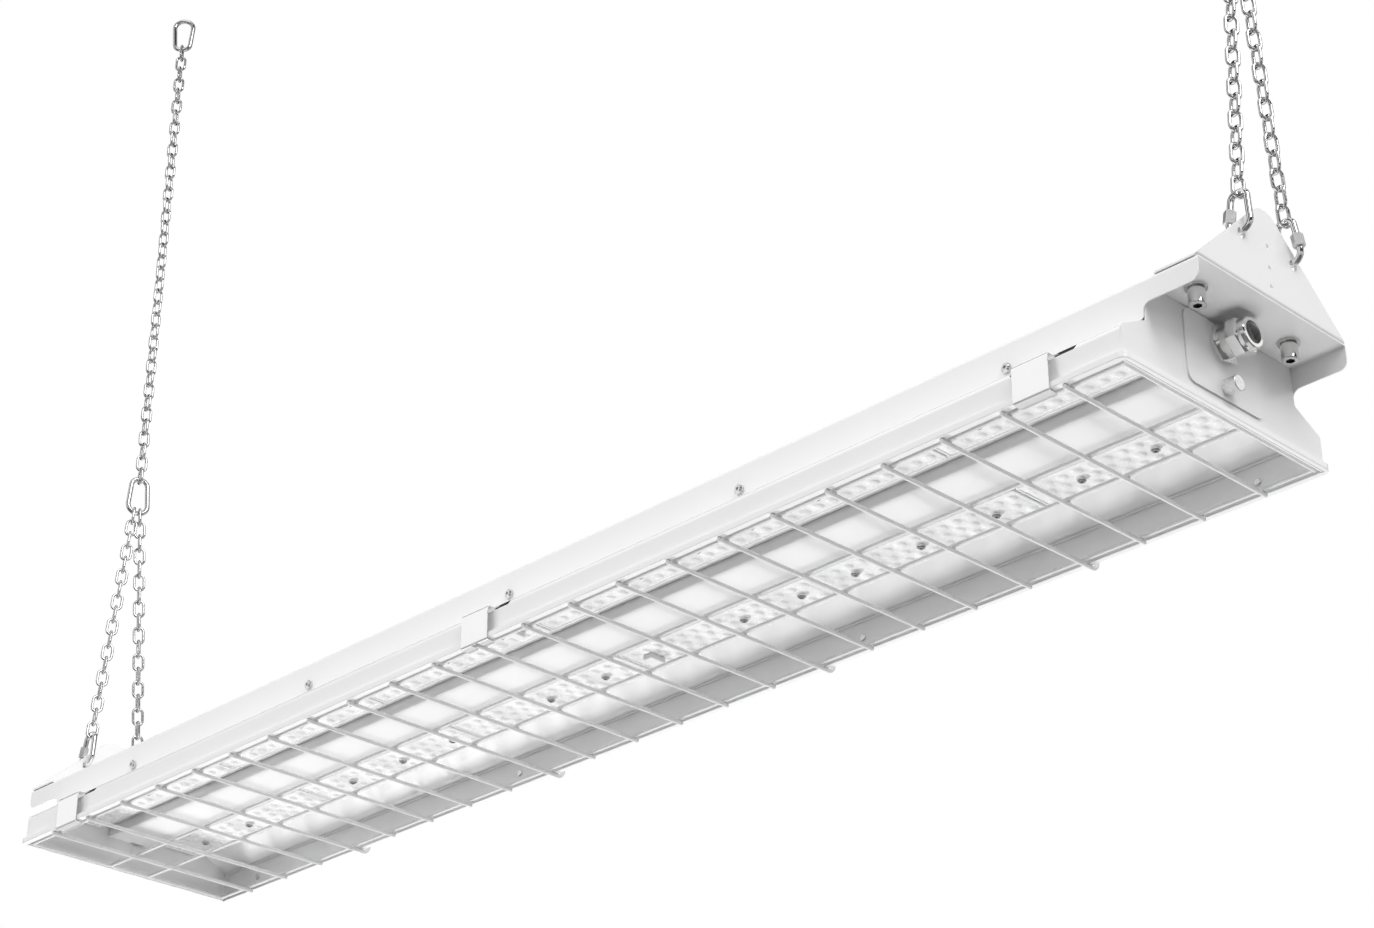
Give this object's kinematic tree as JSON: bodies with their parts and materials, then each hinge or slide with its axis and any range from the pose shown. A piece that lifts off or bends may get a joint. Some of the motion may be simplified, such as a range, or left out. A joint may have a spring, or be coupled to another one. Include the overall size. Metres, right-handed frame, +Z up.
{
  "type": "hanging led light fixture",
  "caption": "Long white suspended LED luminaire with an open wire guard below, hung level at both ends from the ceiling by Y-shaped steel chains with pear links.",
  "frame": {"origin": "midway between the inside tops of the two ceiling links, on the line that the two ceiling hooks would make", "axes": "+X along the luminaire towards the end with the cable gland, +Y towards the guard's hinge side at the back, +Z up"},
  "size_m": [1.6184, 0.2853, 1.1899],
  "materials": {
    "white_paint": "smooth white powder coat",
    "guard_coat": "white coated wire",
    "zinc_steel": "bright zinc plate",
    "chain_zinc": "zinc plated",
    "clip_steel": "stainless spring strip",
    "nickel_gland": "nickel plated",
    "clear_lens": "clear moulded lens",
    "board_white": "white solder mask",
    "seal_rubber": "moulded",
    "driver_case": "moulded case",
    "loom_sheath": "sheathed wires",
    "terminal_plastic": "moulded",
    "vent_alu": "turned"
  },
  "bodies": {
    "ceiling_links": {"left_top_link": "chain_zinc", "right_top_link": "chain_zinc"},
    "chain_hooks": {"left_first_link": "chain_zinc", "right_first_link": "chain_zinc"},
    "left_chain": {"left_drop_chain": "chain_zinc", "left_joint_link": "chain_zinc", "left_front_leg": "chain_zinc", "left_back_leg": "chain_zinc", "left_front_link": "chain_zinc", "left_back_link": "chain_zinc"},
    "right_chain": {"right_drop_chain": "chain_zinc", "right_joint_link": "chain_zinc", "right_front_leg": "chain_zinc", "right_back_leg": "chain_zinc", "right_front_link": "chain_zinc", "right_back_link": "chain_zinc"},
    "luminaire": {"housing": "white_paint", "rim_frame": "white_paint", "left_end_plate": "white_paint", "right_end_plate": "white_paint", "gland_plate": "white_paint", "blank_plate": "white_paint", "top_cover": "white_paint", "left_bracket": "white_paint", "right_bracket": "white_paint", "centre_channel": "white_paint", "front_rail": "white_paint", "back_rail": "white_paint", "cover_screws": "zinc_steel", "bracket_screws": "zinc_steel", "bracket_washers": "zinc_steel", "bracket_nuts": "zinc_steel", "strip_screws": "zinc_steel", "wall_rivets": "zinc_steel", "gland_body": "nickel_gland", "gland_locknut": "nickel_gland", "gland_dome_nut": "nickel_gland", "gland_seal": "seal_rubber", "vent_plug": "vent_alu", "front_led_boards": "board_white", "front_lens_plates": "clear_lens", "back_led_boards": "board_white", "back_lens_plates": "clear_lens", "board_connectors": "board_white", "left_led_driver": "driver_case", "right_led_driver": "driver_case", "terminal_block": "terminal_plastic", "wiring_loom": "loom_sheath"},
    "guard": {"guard_cross_wires": "guard_coat", "guard_long_wires": "guard_coat", "guard_hook_wires": "guard_coat"},
    "left_clip": {"left_clip": "clip_steel"},
    "middle_clip": {"middle_clip": "clip_steel"},
    "right_clip": {"right_clip": "clip_steel"},
    "left_front_sleeve": {"left_front_sleeve": "chain_zinc"},
    "left_back_sleeve": {"left_back_sleeve": "chain_zinc"},
    "right_front_sleeve": {"right_front_sleeve": "chain_zinc"},
    "right_back_sleeve": {"right_back_sleeve": "chain_zinc"}
  },
  "joints": [
    {"name": "side_swing", "type": "hinge", "parent": "ceiling_links", "child": "chain_hooks", "pos_m": [0, 0, -0.039], "axis": [1, 0, 0], "range_deg": [-15, 15]},
    {"name": "left_chain_swing", "type": "hinge", "parent": "chain_hooks", "child": "left_chain", "pos_m": [-0.79475, 0, -0.0557], "axis": [0, 1, 0], "range_deg": [-10, 10]},
    {"name": "right_chain_swing", "type": "hinge", "parent": "chain_hooks", "child": "right_chain", "pos_m": [0.79475, 0, -0.0557], "axis": [0, 1, 0], "range_deg": [-10, 10]},
    {"name": "luminaire_level", "type": "hinge", "parent": "left_chain", "child": "luminaire", "pos_m": [-0.79475, 0, -1.04662], "axis": [0, 1, 0], "range_deg": [-10, 10]},
    {"name": "guard_hinge", "type": "hinge", "parent": "luminaire", "child": "guard", "pos_m": [0, 0.137, -1.17487], "axis": [1, 0, 0], "range_deg": [0, 90]},
    {"name": "left_clip_spring", "type": "hinge", "parent": "luminaire", "child": "left_clip", "pos_m": [-0.658, -0.1355, -1.15137], "axis": [-1, 0, 0], "range_deg": [0, 25], "stiffness_Nm_per_rad": 0.06},
    {"name": "middle_clip_spring", "type": "hinge", "parent": "luminaire", "child": "middle_clip", "pos_m": [0, -0.1355, -1.15137], "axis": [-1, 0, 0], "range_deg": [0, 25], "stiffness_Nm_per_rad": 0.06},
    {"name": "right_clip_spring", "type": "hinge", "parent": "luminaire", "child": "right_clip", "pos_m": [0.658, -0.1355, -1.15137], "axis": [-1, 0, 0], "range_deg": [0, 25], "stiffness_Nm_per_rad": 0.06},
    {"name": "left_front_sleeve_slide", "type": "slide", "parent": "left_chain", "child": "left_front_sleeve", "axis": [0.0943, 0.0938, 0.9911], "range_m": [0, 0.008]},
    {"name": "left_back_sleeve_slide", "type": "slide", "parent": "left_chain", "child": "left_back_sleeve", "axis": [-0.0943, -0.0938, 0.9911], "range_m": [0, 0.008]},
    {"name": "right_front_sleeve_slide", "type": "slide", "parent": "right_chain", "child": "right_front_sleeve", "axis": [0.0943, 0.0938, 0.9911], "range_m": [0, 0.008]},
    {"name": "right_back_sleeve_slide", "type": "slide", "parent": "right_chain", "child": "right_back_sleeve", "axis": [-0.0943, -0.0938, 0.9911], "range_m": [0, 0.008]}
  ],
  "couplings": [
    {"joint": "left_chain_swing", "follows": "luminaire_level", "ratio": -1},
    {"joint": "right_chain_swing", "follows": "luminaire_level", "ratio": -1}
  ]
}
